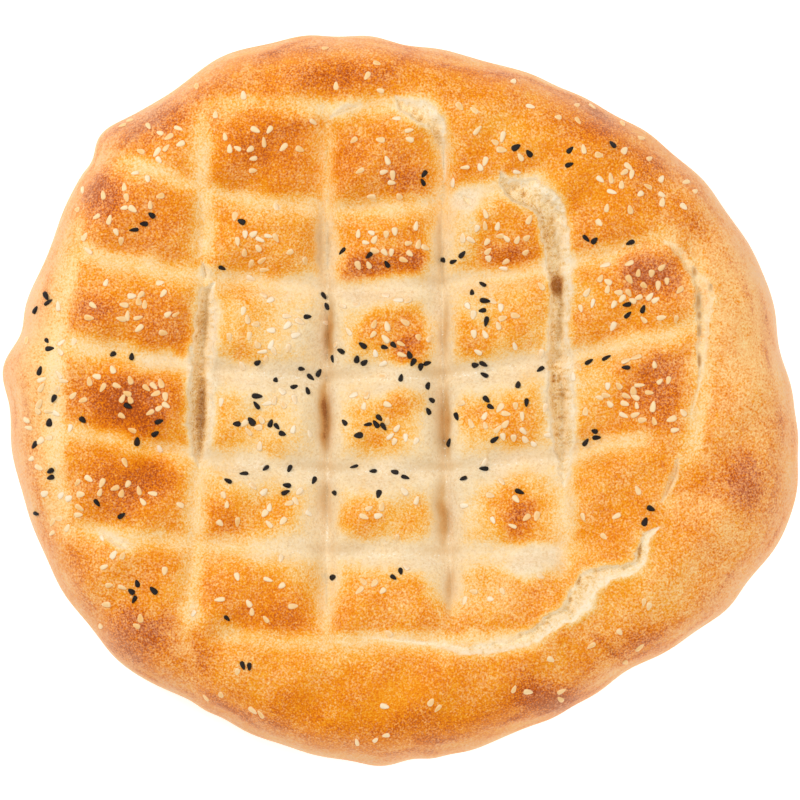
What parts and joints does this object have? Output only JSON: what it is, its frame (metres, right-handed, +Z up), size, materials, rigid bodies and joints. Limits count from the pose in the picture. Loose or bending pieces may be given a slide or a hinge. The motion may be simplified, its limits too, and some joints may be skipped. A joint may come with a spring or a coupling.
{
  "type": "turkish bread",
  "caption": "Round flat leavened bread with a puffed rim, a pressed grid of soft pillows, torn splits along the grooves, and sesame and nigella seeds baked on top.",
  "frame": {"origin": "middle of the flat underside", "axes": "+Z up out of the seeded top, +X across the widest way, +Y towards the edge that lies away from the viewer"},
  "size_m": [0.2705, 0.2484, 0.0399],
  "materials": {
    "crust": "matt golden-brown bread crust, paler in the grooves"
  },
  "bodies": {
    "root": {"bread": "crust"}
  },
  "joints": []
}
